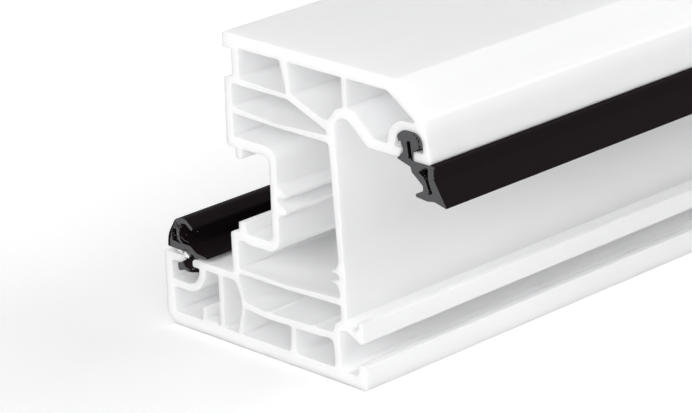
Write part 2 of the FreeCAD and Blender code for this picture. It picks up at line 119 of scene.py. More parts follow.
# A gasket's root in its groove: where it swells fully, where it stops, and the gap that stays
SEAT_FULL = 0.4 * MM
SEAT_REACH = 0.55 * MM
SEAT_HAIR = 0.03 * MM

# Crumbs of rubber and plastic: the unevenness and grain of their surface. Those on a hollow's rim also have
# a range of radii, a scatter and a range of depths in the cut, in mm, and are longer along the bar.
CRUMB_BULGE, CRUMB_GRAIN = 0.5, 1.3
RIM_CRUMB_RADII = (0.04, 0.11)
RIM_CRUMB_SCATTER = 0.1
RIM_CRUMB_DEPTHS = (0.25, 0.5)
RIM_CRUMB_STRETCH = 1.4

# Specks of sawdust: their half sizes and their lift off the rubber, as shares of the speck size
SPECK_SHAPE = (1, 1.6, 0.6)
SPECK_LIFT = 0.3

# Threads of rubber: how thick a tip is against the middle, how far its taper would run on past the last point,
# in steps, and how deep the thread lies in the cut and weaves, in mm
THREAD_RADIUS = 0.07 * MM
THREAD_SIDES = 6
THREAD_TIP = 0.35
THREAD_END = 0.6
THREAD_DEPTH, THREAD_WEAVE = 0.3, 0.1


# Section outlines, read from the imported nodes

def loop_area(loop):
    """Signed area of a closed outline of (x, z) points: positive if anticlockwise from the sawn end."""
    return sum(a[0] * b[1] - b[0] * a[1] for a, b in zip(loop, loop[1:] + loop[:1])) / 2


def section_outlines(node):
    """The closed outlines of a node's sawn end: the outside, anticlockwise, then the hollows, clockwise."""
    mesh = bmesh.new()
    mesh.from_mesh(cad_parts[node].data)
    bmesh.ops.remove_doubles(mesh, verts=mesh.verts, dist=WELD)
    on_end = {v for v in mesh.verts if abs(v.co.y - CUT_END) < WELD}
    end_faces = {f for f in mesh.faces if all(v in on_end for v in f.verts)}
    rim = [e for e in mesh.edges if sum(f in end_faces for f in e.link_faces) == 1]
    neighbours = {}
    for edge in rim:
        a, b = edge.verts
        neighbours.setdefault(a, []).append(b)
        neighbours.setdefault(b, []).append(a)
    outlines, used = [], set()
    for start in sorted(neighbours, key=lambda v: v.index):
        if start in used:
            continue
        loop, previous, here = [], None, start
        while here not in used:
            used.add(here)
            loop.append((here.co.x, here.co.z))
            ahead = [v for v in neighbours[here] if v is not previous]
            previous, here = here, ahead[0]
        outlines.append(loop)
    mesh.free()
    outlines.sort(key=lambda loop: -abs(loop_area(loop)))
    facing = [1] + [-1] * (len(outlines) - 1)
    return [loop if loop_area(loop) * way > 0 else loop[::-1] for loop, way in zip(outlines, facing)]


def way_in(loop, i):
    """The direction into the material, which lies on the outline's left, at one of its points."""
    before, here, after = Vector(loop[i - 1]), Vector(loop[i]), Vector(loop[(i + 1) % len(loop)])
    into = Vector((0, 0))
    for side in (here - before, after - here):
        if side.length > 0:
            into += Vector((-side.y, side.x)).normalized()
    return into.normalized()


def drawn_in(loop, depth):
    """The outline moved into the material by a depth that may differ from point to point."""
    moved = []
    for i, (x, z) in enumerate(loop):
        here = Vector((x, z)) + way_in(loop, i) * (depth(x, z) if callable(depth) else depth)
        moved.append((here.x, here.y))
    return moved


def finer(loop, step):
    """The outline with its points no further apart than a step."""
    points = []
    for a, b in zip(loop, loop[1:] + loop[:1]):
        start, end = Vector(a), Vector(b)
        pieces = max(1, math.ceil((end - start).length / step))
        points += [tuple(start.lerp(end, i / pieces)) for i in range(pieces)]
    return points


def torn_on(loop, tears):
    """The outline with each tear drawn out of it: a tear runs from a place on the outline to its tip."""
    points = []
    for x, z in loop:
        here = Vector((x, z))
        for root, tip, width in tears:
            root, tip, width = Vector(root) * MM, Vector(tip) * MM, width * MM
            reach = (here - root).length / width
            if reach < 1:
                here += (tip - root) * (1 - reach) ** 2
        points.append(tuple(here))
    return points


def places_round(loop):
    """How far round its closed outline each point lies, from 0 to 1, and the outline's length."""
    lengths = [(Vector(b) - Vector(a)).length for a, b in zip(loop, loop[1:] + loop[:1])]
    whole = sum(lengths)
    return [sum(lengths[:i]) / whole for i in range(len(loop))], whole


def cut_to(loop, shape):
    """The outline of a hollow drawn over, point for point, to its torn shape at the cut, in millimetres."""
    shape = [(x * MM, z * MM) for x, z in shape]
    if loop_area(shape) * loop_area(loop) < 0:
        shape = shape[::-1]
    first = min(range(len(shape)), key=lambda i: (Vector(shape[i]) - Vector(loop[0])).length)
    shape = shape[first:] + shape[:first]
    marks, _ = places_round(shape)
    points = []
    for place in places_round(loop)[0]:
        i = max(k for k, mark in enumerate(marks) if mark <= place)
        start, end = Vector(shape[i]), Vector(shape[(i + 1) % len(shape)])
        ahead = marks[i + 1] if i + 1 < len(marks) else 1
        points.append(tuple(start.lerp(end, (place - marks[i]) / (ahead - marks[i]))))
    return points


def tree_of(outlines):
    """The points of some outlines, ready to be searched."""
    corners = [point for loop in outlines for point in loop]
    tree = KDTree(len(corners))
    for i, (x, z) in enumerate(corners):
        tree.insert((x, 0, z), i)
    tree.balance()
    return tree


def seated(loop, around):
    """The outline with its parts in the profile's groove swollen until only a hair is left between them."""
    points = []
    for i, (x, z) in enumerate(loop):
        nearest, _, distance = around.find((x, 0, z))
        towards = Vector((nearest.x - x, nearest.z - z))
        facing = max(0, -towards.normalized().dot(way_in(loop, i)))
        near = min(1, max(0, (SEAT_REACH - distance) / (SEAT_REACH - SEAT_FULL)))
        moved = Vector((x, z)) + towards * facing * near * (1 - SEAT_HAIR / distance)
        points.append((moved.x, moved.y))
    return points


def in_material(point, outlines):
    """Whether a point of the section lies between the outside and the hollows."""
    x, z = point
    crossings = 0
    for loop in outlines:
        for (ax, az), (bx, bz) in zip(loop, loop[1:] + loop[:1]):
            if (az > z) != (bz > z) and x < ax + (z - az) * (bx - ax) / (bz - az):
                crossings += 1
    return crossings % 2 == 1


def inner_places(outlines):
    """Places on a grid inside the material, clear of its outlines."""
    corners = [point for loop in outlines for point in loop]
    tree = tree_of(outlines)
    low = [min(c[k] for c in corners) for k in (0, 1)]
    high = [max(c[k] for c in corners) for k in (0, 1)]
    columns, rows = [int((high[k] - low[k]) / CUT_GRID) for k in (0, 1)]
    places = []
    for column in range(columns):
        for row in range(rows):
            x = low[0] + (column + 0.5 + 0.5 * (row % 2)) * CUT_GRID
            z = low[1] + (row + 0.5) * CUT_GRID
            if tree.find((x, 0, z))[2] > GRID_MARGIN and in_material((x, z), outlines):
                places.append((x, z))
    return places


def end_triangles(outlines, places):
    """Triangles that fill the material, as numbers of the outlines' points, then of the places inside."""
    points = [Vector(p) / MM for loop in outlines for p in loop] + [Vector(p) / MM for p in places]
    edges, first = [], 0
    for loop in outlines:
        edges += [(first + i, first + (i + 1) % len(loop)) for i in range(len(loop))]
        first += len(loop)
    corners, _, triangles, origins, _, _ = delaunay_2d_cdt(points, edges, [], 0, 1e-6)
    kept = []
    for triangle in triangles:
        middle = sum((corners[i] for i in triangle), Vector((0, 0))) * MM / 3
        if in_material(middle, outlines):
            kept.append([origins[i][0] for i in triangle])
    return kept


# Meshes

def ring_at(mesh, loop, y):
    """A ring of vertices at a distance y along the bar, or on a face that gives y at each place."""
    return [mesh.verts.new((x, y(x, z) if callable(y) else y, z)) for x, z in loop]


def join_rings(mesh, near, far, material):
    """Side faces between two rings of the same outline, facing out of the material."""
    count = len(near)
    for i in range(count):
        j = (i + 1) % count
        face = mesh.faces.new((near[i], near[j], far[j], far[i]))
        face.material_index = material


def face_outward(face, outward):
    """Turns a face of an end so that it faces out of the bar, which is 1 or -1 along it."""
    face.normal_update()
    if face.normal.y * outward < 0:
        face.normal_flip()


def close_end(mesh, rings, outward):
    """The flat sawn face between the outside ring and the rings of the hollows."""
    edges = []
    for ring in rings:
        for a, b in zip(ring, ring[1:] + ring[:1]):
            edges.append(mesh.edges.get((a, b)) or mesh.edges.new((a, b)))
    filled = bmesh.ops.triangle_fill(mesh, use_beauty=True, use_dissolve=False, edges=edges)
    for face in filled["geom"]:
        if isinstance(face, bmesh.types.BMFace):
            face.material_index = CUT
            face_outward(face, outward)


def shade(mesh):
    """Smooth faces with the section's real corners kept sharp."""
    for face in mesh.faces:
        face.smooth = True
    for edge in mesh.edges:
        edge.smooth = len(edge.link_faces) == 2 and edge.calc_face_angle(0) < SHARP_ANGLE


def bar_mesh(outlines, rim):
    """A mesh of the whole bar: a fine broken edge at each sawn end, the section's outlines between them."""
    mesh = bmesh.new()
    near_caps, far_caps = [], []
    for loop in outlines:
        small = drawn_in(loop, rim)
        near_caps.append(ring_at(mesh, small, CUT_END))
        rings = [near_caps[-1]]
        for step in range(BAR_STATIONS):
            along = CUT_END + 2 * rim + (FAR_END - CUT_END - 4 * rim) * step / (BAR_STATIONS - 1)
            rings.append(ring_at(mesh, loop, along))
        far_caps.append(ring_at(mesh, small, FAR_END))
        rings.append(far_caps[-1])
        for place, (near, far) in enumerate(zip(rings, rings[1:])):
            is_edge = place in (0, len(rings) - 2)
            join_rings(mesh, near, far, CUT if is_edge else SKIN)
    close_end(mesh, near_caps, -1)
    close_end(mesh, far_caps, 1)
    return mesh


def as_piece(name, mesh, materials, replaced=()):
    """A mesh as a piece that rides on the bar, in materials that the finishes operator made."""
    shade(mesh)
    data = bpy.data.meshes.new(name)
    mesh.to_mesh(data)
    mesh.free()
    for material in materials:
        data.materials.append(bpy.data.materials[material])
    piece = bpy.data.objects.new(name, data)
    bpy.context.scene.collection.objects.link(piece)
    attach(piece, "root")
    if replaced:
        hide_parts(*replaced)


def strand(mesh, points):
    """A thin round thread of rubber along a few points, thinner at its ends."""
    rings = []
    last = len(points) - 1
    for i, point in enumerate(points):
        here = Vector(point)
        ahead = Vector(points[min(i + 1, last)]) - Vector(points[max(i - 1, 0)])
        turn = ahead.to_track_quat("Z", "Y")
        fullness = math.sin(math.pi * (i + THREAD_END) / (last + 2 * THREAD_END))
        width = THREAD_RADIUS * (THREAD_TIP + (1 - THREAD_TIP) * fullness)
        ring = []
        for k in range(THREAD_SIDES):
            angle = 2 * math.pi * k / THREAD_SIDES
            spoke = Vector((width * math.cos(angle), width * math.sin(angle), 0))
            ring.append(mesh.verts.new(here + turn @ spoke))
        rings.append(ring)
    for near, far in zip(rings, rings[1:]):
        for k in range(THREAD_SIDES):
            after = (k + 1) % THREAD_SIDES
            mesh.faces.new((near[k], near[after], far[after], far[k]))
    mesh.faces.new(rings[0][::-1])
    mesh.faces.new(rings[-1])


# Shader nodes

# How much the scratches' noise is drawn out: long across the bar and along it, close together upwards
SCRATCH_SQUEEZE = (0.06, 0.06, 1.0)


def put(tree, kind, place, **values):
    """A shader node with its properties and its unlinked inputs set."""
    node = tree.nodes.new(kind)
    node.location = place
    for name, value in values.items():
        if hasattr(node, name):
            setattr(node, name, value)
        else:
            node.inputs[name.replace("_", " ")].default_value = value
    return node


def new_group(name, inputs, outputs):
    """An empty shader node group with named inputs, each with its default, and named outputs."""
    group = bpy.data.node_groups.new(name, "ShaderNodeTree")
    for label, kind, default in inputs:
        socket = group.interface.new_socket(label, in_out="INPUT", socket_type="NodeSocket" + kind)
        socket.default_value = default
    for label, kind in outputs:
        group.interface.new_socket(label, in_out="OUTPUT", socket_type="NodeSocket" + kind)
    return group, group.nodes.new("NodeGroupInput"), group.nodes.new("NodeGroupOutput")


def lengthwise_lines_group():
    """The faint lines that the die draws along an extrusion: a height and a mask."""
    group, given, out = new_group(
        "Lengthwise lines",
        [("Across", "Float", 900.0), ("Along", "Float", 3.0)],
        [("Height", "Float"), ("Mask", "Float")],
    )
    link = group.links.new
    place = put(group, "ShaderNodeTexCoord", (-900, 0))
    stretch = put(group, "ShaderNodeCombineXYZ", (-900, -260))
    scaled = put(group, "ShaderNodeVectorMath", (-680, 0), operation="MULTIPLY")
    fine = put(group, "ShaderNodeTexNoise", (-460, 120), Scale=1.0, Detail=3.0, Roughness=0.55)
    broad = put(group, "ShaderNodeTexNoise", (-460, -160), Scale=0.12, Detail=1.0, Roughness=0.5)
    mix = put(group, "ShaderNodeMath", (-240, 40), operation="MULTIPLY")
    soften = put(group, "ShaderNodeMapRange", (-20, 40), From_Min=0.12, From_Max=0.42)
    link(given.outputs["Across"], stretch.inputs["X"])
    link(given.outputs["Along"], stretch.inputs["Y"])
    link(given.outputs["Across"], stretch.inputs["Z"])
    link(place.outputs["Object"], scaled.inputs[0])
    link(stretch.outputs["Vector"], scaled.inputs[1])
    link(scaled.outputs["Vector"], fine.inputs["Vector"])
    link(scaled.outputs["Vector"], broad.inputs["Vector"])
    link(fine.outputs["Fac"], mix.inputs[0])
    link(broad.outputs["Fac"], mix.inputs[1])
    link(mix.outputs["Value"], soften.inputs["Value"])
    link(soften.outputs["Result"], out.inputs["Height"])
    link(soften.outputs["Result"], out.inputs["Mask"])
    return group


def cut_grain_group():
    """The torn grain of a sawn or knifed end: close scratches across the cut and fine pits."""
    group, given, out = new_group(
        "Cut grain",
        [("Scratches", "Float", 2400.0), ("Crumbs", "Float", 9000.0), ("Slant", "Float", 0.3)],
        [("Height", "Float"), ("Mask", "Float")],
    )
    link = group.links.new
    place = put(group, "ShaderNodeTexCoord", (-1000, 0))
    spin = put(group, "ShaderNodeVectorRotate", (-800, 120), rotation_type="Y_AXIS")
    squeeze = put(group, "ShaderNodeVectorMath", (-600, 120), operation="MULTIPLY")
    squeeze.inputs[1].default_value = SCRATCH_SQUEEZE
    scratches = put(group, "ShaderNodeTexNoise", (-400, 160), Detail=4.0, Roughness=0.6)
    crumbs = put(group, "ShaderNodeTexNoise", (-400, -120), Detail=5.0, Roughness=0.7)
    both = put(group, "ShaderNodeMath", (-180, 60), operation="ADD")
    mean = put(group, "ShaderNodeMath", (0, 60), operation="DIVIDE")
    mean.inputs[1].default_value = 2
    pits = put(group, "ShaderNodeMapRange", (-180, -160), From_Min=0.56, From_Max=0.66)
    link(place.outputs["Object"], spin.inputs["Vector"])
    link(given.outputs["Slant"], spin.inputs["Angle"])
    link(spin.outputs["Vector"], squeeze.inputs[0])
    link(squeeze.outputs["Vector"], scratches.inputs["Vector"])
    link(given.outputs["Scratches"], scratches.inputs["Scale"])
    link(place.outputs["Object"], crumbs.inputs["Vector"])
    link(given.outputs["Crumbs"], crumbs.inputs["Scale"])
    link(scratches.outputs["Fac"], both.inputs[0])
    link(crumbs.outputs["Fac"], both.inputs[1])
    link(both.outputs["Value"], mean.inputs[0])
    link(crumbs.outputs["Fac"], pits.inputs["Value"])
    link(mean.outputs["Value"], out.inputs["Height"])
    link(pits.outputs["Result"], out.inputs["Mask"])
    return group


def finish_material(name, colour, effect, effect_values, marks, rough, rough_marks, bump, distance,
                    specular=0.5, depth=0):
    """A finish whose colour, roughness and relief follow one of the shared effects.

    In the effect's marks the colour is multiplied by marks. Light enters the finish to a depth.
    """
    material = bpy.data.materials.new(name)
    material.use_nodes = True
    tree = material.node_tree
    link = tree.links.new
    surface = tree.nodes["Principled BSDF"]
    surface.inputs["Specular IOR Level"].default_value = specular
    if depth:
        surface.inputs["Subsurface Weight"].default_value = 1
        surface.inputs["Subsurface Radius"].default_value = (1, 1, 1)
        surface.inputs["Subsurface Scale"].default_value = depth
    pattern = put(tree, "ShaderNodeGroup", (-700, 0), node_tree=effect)
    for label, value in effect_values.items():
        pattern.inputs[label].default_value = value
    tint = put(tree, "ShaderNodeMix", (-420, 200), data_type="RGBA")
    tint.inputs["A"].default_value = (*colour, 1)
    tint.inputs["B"].default_value = (*(Vector(colour) * marks), 1)
    roughness = put(tree, "ShaderNodeMapRange", (-420, -40), To_Min=rough, To_Max=rough_marks)
    relief = put(tree, "ShaderNodeBump", (-420, -320), Strength=bump, Distance=distance)
    link(pattern.outputs["Mask"], tint.inputs["Factor"])
    link(pattern.outputs["Mask"], roughness.inputs["Value"])
    link(pattern.outputs["Height"], relief.inputs["Height"])
    link(tint.outputs["Result"], surface.inputs["Base Color"])
    link(roughness.outputs["Result"], surface.inputs["Roughness"])
    link(relief.outputs["Normal"], surface.inputs["Normal"])


# Settings shown in the sidebar

class SashFinishSettings(bpy.types.PropertyGroup):
    """Colours of the plastic and the rubber, and how deep light goes into the plastic."""
    plastic_colour: FloatVectorProperty(
        name="Plastic", description="Colour of the extruded white plastic", subtype="COLOR", size=3,
        min=0, max=1, default=(0.885, 0.887, 0.892))
    sawn_colour: FloatVectorProperty(
        name="Sawn end", description="Colour of the plastic where it was sawn", subtype="COLOR", size=3,
        min=0, max=1, default=(0.9, 0.9, 0.9))
    rubber_colour: FloatVectorProperty(
        name="Rubber", description="Colour of the gaskets' smooth skin", subtype="COLOR", size=3,
        min=0, max=1, default=(0.0072, 0.0048, 0.0054))
    cut_rubber_colour: FloatVectorProperty(
        name="Cut rubber", description="Colour of the gaskets where they were cut", subtype="COLOR", size=3,
        min=0, max=1, default=(0.083, 0.084, 0.087))
    light_depth: FloatProperty(
        name="Light depth", description="How far light travels inside the plastic", unit="LENGTH",
        default=2.5 * MM, min=0, max=10 * MM)


class SashCutSettings(bpy.types.PropertyGroup):
    """Fine detail of the sawn end and of the gaskets' cut ends."""
    broken_edge: FloatProperty(
        name="Broken edge", description="Width of the fine edge left by the saw", unit="LENGTH",
        default=0.03 * MM, min=0.005 * MM, max=0.1 * MM)
    gasket_tear: FloatProperty(
        name="Gasket tear", description="How far the gaskets' cut wanders along the bar", unit="LENGTH",
        default=0.12 * MM, min=0, max=0.4 * MM)
    speck_size: FloatProperty(
        name="Specks", description="Size of the specks of sawdust on the rubber", unit="LENGTH",
        default=0.09 * MM, min=0.02 * MM, max=0.3 * MM)
    burr_thickness: FloatProperty(
        name="Chips", description="Thickness of the chips left by the saw", unit="LENGTH",
        default=0.3 * MM, min=0.05 * MM, max=0.6 * MM)
    seed: IntProperty(
        name="Seed", description="Start of the random chips, crumbs and tears", default=7, min=0)


class SashStageSettings(bpy.types.PropertyGroup):
    """Camera, floor and light."""
    lens: FloatProperty(
        name="Lens", description="Focal length of the camera", unit="CAMERA",
        default=185.3, min=20, max=400)
    heading: FloatProperty(
        name="Heading", description="Direction of the view, from along the bar", subtype="ANGLE",
        default=math.radians(-45.54))
    fall: FloatProperty(
        name="Fall", description="How far the view looks down", subtype="ANGLE",
        default=math.radians(20.17))
    roll: FloatProperty(
        name="Roll", description="Turn of the view about its own line", subtype="ANGLE",
        default=math.radians(-1.96))
    camera_place: FloatVectorProperty(
        name="Camera", description="Camera, from the foot of the bar's sawn end on its middle line",
        subtype="TRANSLATION", unit="LENGTH", size=3, default=(0.42591, -0.40616, 0.24703))
    floor_colour: FloatVectorProperty(
        name="Floor", description="Colour of the floor", subtype="COLOR", size=3, min=0, max=1,
        default=(0.97, 0.97, 0.975))
    floor_glow: FloatProperty(
        name="Floor glow", description="White that the floor adds for the camera and reflections alone",
        default=0.28, min=0, max=1)
    sky: FloatProperty(
        name="Room light", description="Strength of the even light all round", default=0.02, min=0, max=3)


# Materials, made once and shared

class SASH_OT_finishes(bpy.types.Operator):
    """Makes the white plastic, its sawn end and chips, the rubber skin and the cut rubber"""
    bl_idname = "sash.finishes"
    bl_label = "Finishes"

    def execute(self, context):
        look = context.scene.sash_finish
        lines = lengthwise_lines_group()
        grain = cut_grain_group()
        finish_material(
            "White plastic", look.plastic_colour, lines, {"Across": 1400.0, "Along": 2.5},
            marks=0.99, rough=0.3, rough_marks=0.36, bump=0.12, distance=0.02 * MM, depth=look.light_depth)
        for name, depth in (("Sawn white plastic", look.light_depth), ("Plastic chips", 0)):
            finish_material(
                name, look.sawn_colour, grain, {"Scratches": 2600.0, "Crumbs": 9000.0, "Slant": 0.35},
                marks=0.97, rough=0.6, rough_marks=0.75, bump=0.25, distance=0.03 * MM,
                specular=0.3, depth=depth)
        finish_material(
            "Black rubber", look.rubber_colour, lines, {"Across": 2100.0, "Along": 9.0},
            marks=1.25, rough=0.7, rough_marks=0.8, bump=0.2, distance=0.02 * MM, specular=0.05)
        finish_material(
            "Cut black rubber", look.cut_rubber_colour, grain,
            {"Scratches": 3200.0, "Crumbs": 5200.0, "Slant": 1.1},
            marks=0.55, rough=0.75, rough_marks=0.95, bump=0.8, distance=0.08 * MM, specular=0.2)
        return {"FINISHED"}


# The bar and its gaskets

class SASH_OT_profile(bpy.types.Operator):
    """Builds the sash profile from its packed section, with its two sawn ends"""
    bl_idname = "sash.profile"
    bl_label = "Sash profile"

    def execute(self, context):
        mesh = bar_mesh(section_outlines("sash_profile"), context.scene.sash_cut.broken_edge)
        finishes = ["White plastic", "Sawn white plastic"]
        as_piece("sash_bar", mesh, finishes, ["sash_profile"])
        return {"FINISHED"}


def pit_depth(x, z, pits):
    """How much deeper the cut is torn at a place."""
    depth = 0
    for middle_x, middle_z, radius, most in pits:
        reach = math.hypot(x / MM - middle_x, z / MM - middle_z) / radius
        depth = max(depth, most * MM * max(0, 1 - reach ** 2))
    return depth


def knife_cut(end, inward, tear, pits, seed):
    """The cut face of a gasket: y at each place of the section, wandering inward from the end."""
    def y(x, z):
        broad = noise.noise(Vector((x, 0, z)) / BROAD_TEAR + Vector((seed, seed, 0)))
        fine = noise.noise(Vector((x, 0, z)) / FINE_TEAR + Vector((0, seed, seed)))
        wander = TEAR_MIDDLE + BROAD_SHARE * broad + FINE_SHARE * fine
        return end + inward * (tear * wander + pit_depth(x, z, pits))
    return y


def fray(amount, seed, inward_only=False):
    """How far a torn outline wanders at each place."""
    def depth(x, z):
        wander = amount * noise.noise(Vector((x, 0, z)) / FINE_TEAR + Vector((seed, 0, seed)))
        return abs(wander) if inward_only else wander
    return depth


def cut_end_rings(mesh, outlines, worn, face, inward):
    """The rings of a cut end from the cut face inwards, one list for each outline."""
    sets = []
    for loop, torn in zip(outlines, worn):
        half = [((a[0] + b[0]) / 2, (a[1] + b[1]) / 2) for a, b in zip(loop, torn)]
        sets.append([
            ring_at(mesh, torn, face),
            ring_at(mesh, half, lambda x, z: face(x, z) + inward * FINE_TEAR),
            ring_at(mesh, loop, face(0, 0) + inward * DEEPEST_TEAR),
        ])
    return sets


def on_skin_or_shade_smear(x, z, skin_and_shade_smears):
    """Whether a place of the cut lies under a black smear: skin smeared over it, or painted shade where it is
    torn.
    """
    here = Vector((x, z)) / MM
    for (start, end), width in skin_and_shade_smears:
        start, end = Vector(start), Vector(end)
        along = max(0, min(1, (here - start).dot(end - start) / (end - start).length_squared))
        ragged = 1 + SKIN_AND_SHADE_FRAY * noise.noise(Vector((x, 0, z)) / FINE_TEAR)
        if (here - start.lerp(end, along)).length < width * ragged:
            return True
    return False


def fill_cut(mesh, rings, places, triangles, face, outward, pits, skin_and_shade_smears):
    """The cut face itself, black as painted shade where it is torn deep, and black under the smears of skin or
    of painted shade.
    """
    corners = [v for ring in rings for v in ring] + ring_at(mesh, places, face)
    for triangle in triangles:
        filled = mesh.faces.new([corners[i] for i in triangle])
        face_outward(filled, outward)
        middle = filled.calc_center_median()
        # Black rubber skin as painted shade in the deep pits, and under the smears of skin or of painted shade
        deep = pit_depth(middle.x, middle.z, pits) > PAINTED_SHADE_DEPTH
        filled.material_index = SKIN if deep or on_skin_or_shade_smear(middle.x, middle.z, skin_and_shade_smears) else CUT


def gasket_mesh(outlines, around, tear, cut, seed):
    """A gasket whose knife-cut ends are torn a little, with the section's own outline between them."""
    outlines = [finer(loop, OUTLINE_STEP) for loop in outlines]
    outlines[0] = seated(outlines[0], around)
    worn = [drawn_in(torn_on(outlines[0], cut["tears"]), fray(OUTSIDE_FRAY * tear, seed, inward_only=True))]
    for loop, shape in zip(outlines[1:], cut["hollows"]):
        worn.append(drawn_in(cut_to(loop, shape), fray(HOLLOW_FRAY * tear, seed + 1)))
    places = inner_places(worn)
    triangles = end_triangles(worn, places)
    mesh = bmesh.new()
    near_face = knife_cut(CUT_END, 1, tear, cut["pits"], seed)
    far_face = knife_cut(FAR_END, -1, tear, [], seed + 2)
    near = cut_end_rings(mesh, outlines, worn, near_face, 1)
    far = cut_end_rings(mesh, outlines, worn, far_face, -1)
    for near_rings, far_rings in zip(near, far):
        rings = near_rings + far_rings[::-1]
        for a, b in zip(rings, rings[1:]):
            join_rings(mesh, a, b, SKIN)
    near_rims, far_rims = [[rings[0] for rings in end] for end in (near, far)]
    fill_cut(mesh, near_rims, places, triangles, near_face, -1, cut["pits"], cut["skin_and_shade_smears"])
    fill_cut(mesh, far_rims, places, triangles, far_face, 1, [], [])
    return mesh


def crumb(mesh, place, size, seed, material):
    """A small torn crumb with an uneven surface."""
    made = bmesh.ops.create_icosphere(mesh, subdivisions=2, radius=1)["verts"]
    for vertex in made:
        bulge = 1 + CRUMB_BULGE * noise.noise(vertex.co * CRUMB_GRAIN + Vector((seed, 0, 0)))
        vertex.co = Vector(place) + Vector(vertex.co[k] * bulge * size[k] for k in range(3))
        vertex.co.y = max(vertex.co.y, CUT_END)
    for face in {f for vertex in made for f in vertex.link_faces}:
        face.material_index = material


def crumbs_along(mesh, loop, middle, spread, count, dice):
    """Torn crumbs of rubber round the part of a hollow's rim that lies within spread of a place."""
    nearby = [p for p in loop if math.hypot(p[0] / MM - middle[0], p[1] / MM - middle[1]) < spread]
    for number in range(count):
        x, z = dice.choice(nearby)
        radius = dice.uniform(*RIM_CRUMB_RADII) * MM
        x += dice.uniform(-RIM_CRUMB_SCATTER, RIM_CRUMB_SCATTER) * MM
        y = CUT_END + dice.uniform(*RIM_CRUMB_DEPTHS) * MM
        z += dice.uniform(-RIM_CRUMB_SCATTER, RIM_CRUMB_SCATTER) * MM
        crumb(mesh, (x, y, z), (radius, radius * RIM_CRUMB_STRETCH, radius), number, SKIN)


def specks_seen_at(mesh, surface, camera, spots, size):
    """Specks of sawdust on the rubber, where the camera sees them through each spot of the cut end."""
    for number, (x, z) in enumerate(spots):
        target = Vector((x * MM, CUT_END, z * MM))
        hit, normal, _, _ = surface.ray_cast(camera, target - camera)
        if hit:
            half_sizes = [size * share for share in SPECK_SHAPE]
            crumb(mesh, hit + normal * SPECK_LIFT * size, half_sizes, number, CUT)


# Each gasket's cut end, in millimetres on the section. A hollow is given by its torn shape, a tear by its
# root, tip and width, a pit by its middle, radius and depth (painted black as shade where it is torn deepest),
# a black smear of skin or of painted shade by its two ends and half its width,
# crumbs by their middle, spread and number, a thread by its points, a speck by where the camera sees it.
GLAZING_CUT = {
    "hollows": [
        [(29.7, 44.2), (30.1, 44.7), (30.6, 45.1), (31.4, 45.5), (31.8, 45.5), (32.0, 45.1), (31.9, 43.7),
         (32.3, 42.5), (32.9, 41.2), (32.4, 40.9), (31.8, 40.8), (32.0, 41.4), (31.4, 43.1), (30.9, 43.5),
         (30.5, 44.0)],
        [(27.1, 49.1), (27.3, 49.4), (27.6, 49.5), (27.9, 49.4), (28.0, 49.2), (28.1, 48.1), (28.3, 46.8),
         (28.5, 45.9), (28.2, 46.1), (28.0, 46.4), (27.6, 46.3), (27.4, 46.5), (27.5, 46.8), (27.3, 47.9)],
    ],
    "tears": [],
    "pits": [(29.83, 49.9, 0.33, 0.35), (29.3, 50.35, 0.3, 0.3), (30.1, 48.9, 0.28, 0.3),
             (28.9, 50.75, 0.27, 0.25), (29.85, 49.25, 0.27, 0.3), (29.6, 50.1, 0.24, 0.28)],
    # Black smears: painted shade where they follow the torn pits, black skin smeared over the cut elsewhere
    "skin_and_shade_smears": [(((29.45, 50.55), (29.95, 49.95)), 0.1), (((29.9, 49.9), (29.85, 49.0)), 0.08),
               (((33.42, 45.9), (33.3, 43.7)), 0.1)],
    "crumbs": [((31.0, 44.2), 1.0, 9), ((31.9, 42.2), 1.6, 9), ((27.6, 47.5), 1.6, 4)],
    "threads": [],
    "specks": [(30.97, 44.53), (31.19, 44.13), (30.83, 43.78)],
}
OVERLAP_CUT = {
    "hollows": [
        [(-33.6, 18.9), (-33.1, 19.1), (-32.6, 19.1), (-32.6, 18.1), (-32.5, 17.4), (-32.2, 16.9),
         (-31.5, 16.3), (-31.9, 16.4), (-32.6, 16.5), (-33.8, 16.6), (-33.9, 17.7)],
    ],
    "tears": [((-31.69, 18.3), (-31.98, 18.3), 1.5)],
    "pits": [(-28.95, 13.9, 1.15, 0.9), (-28.6, 12.1, 1.6, 0.9), (-30.3, 14.35, 1.25, 0.7),
             (-30.2, 13.0, 1.3, 0.9), (-31.9, 19.9, 0.35, 0.3), (-31.45, 20.35, 0.3, 0.25)],
    # Black smears: black skin along the outer edge, painted shade by the torn pits and the hollow
    "skin_and_shade_smears": [(((-32.75, 20.95), (-33.53, 19.8)), 0.2), (((-33.53, 19.8), (-34.2, 18.45)), 0.32),
               (((-34.2, 18.45), (-34.6, 17.2)), 0.38), (((-34.6, 17.2), (-34.85, 15.4)), 0.34),
               (((-32.6, 20.3), (-31.9, 19.3)), 0.13), (((-33.0, 19.9), (-32.6, 19.35)), 0.1)],
    "crumbs": [((-33.2, 18.0), 1.6, 12), ((-31.9, 17.3), 0.9, 8)],
    "threads": [
        [(-31.94, 17.75), (-31.4, 17.42), (-30.87, 17.2), (-29.7, 17.0)],
        [(-32.2, 19.9), (-31.7, 19.82), (-31.2, 19.8)],
        [(-33.75, 17.6), (-33.4, 17.52), (-33.1, 17.6)],
    ],
    "specks": [(-31.28, 19.8), (-29.85, 18.6), (-32.16, 18.19), (-26.82, 19.97), (-28.5, 12.2),
               (-28.2, 12.35)],
}


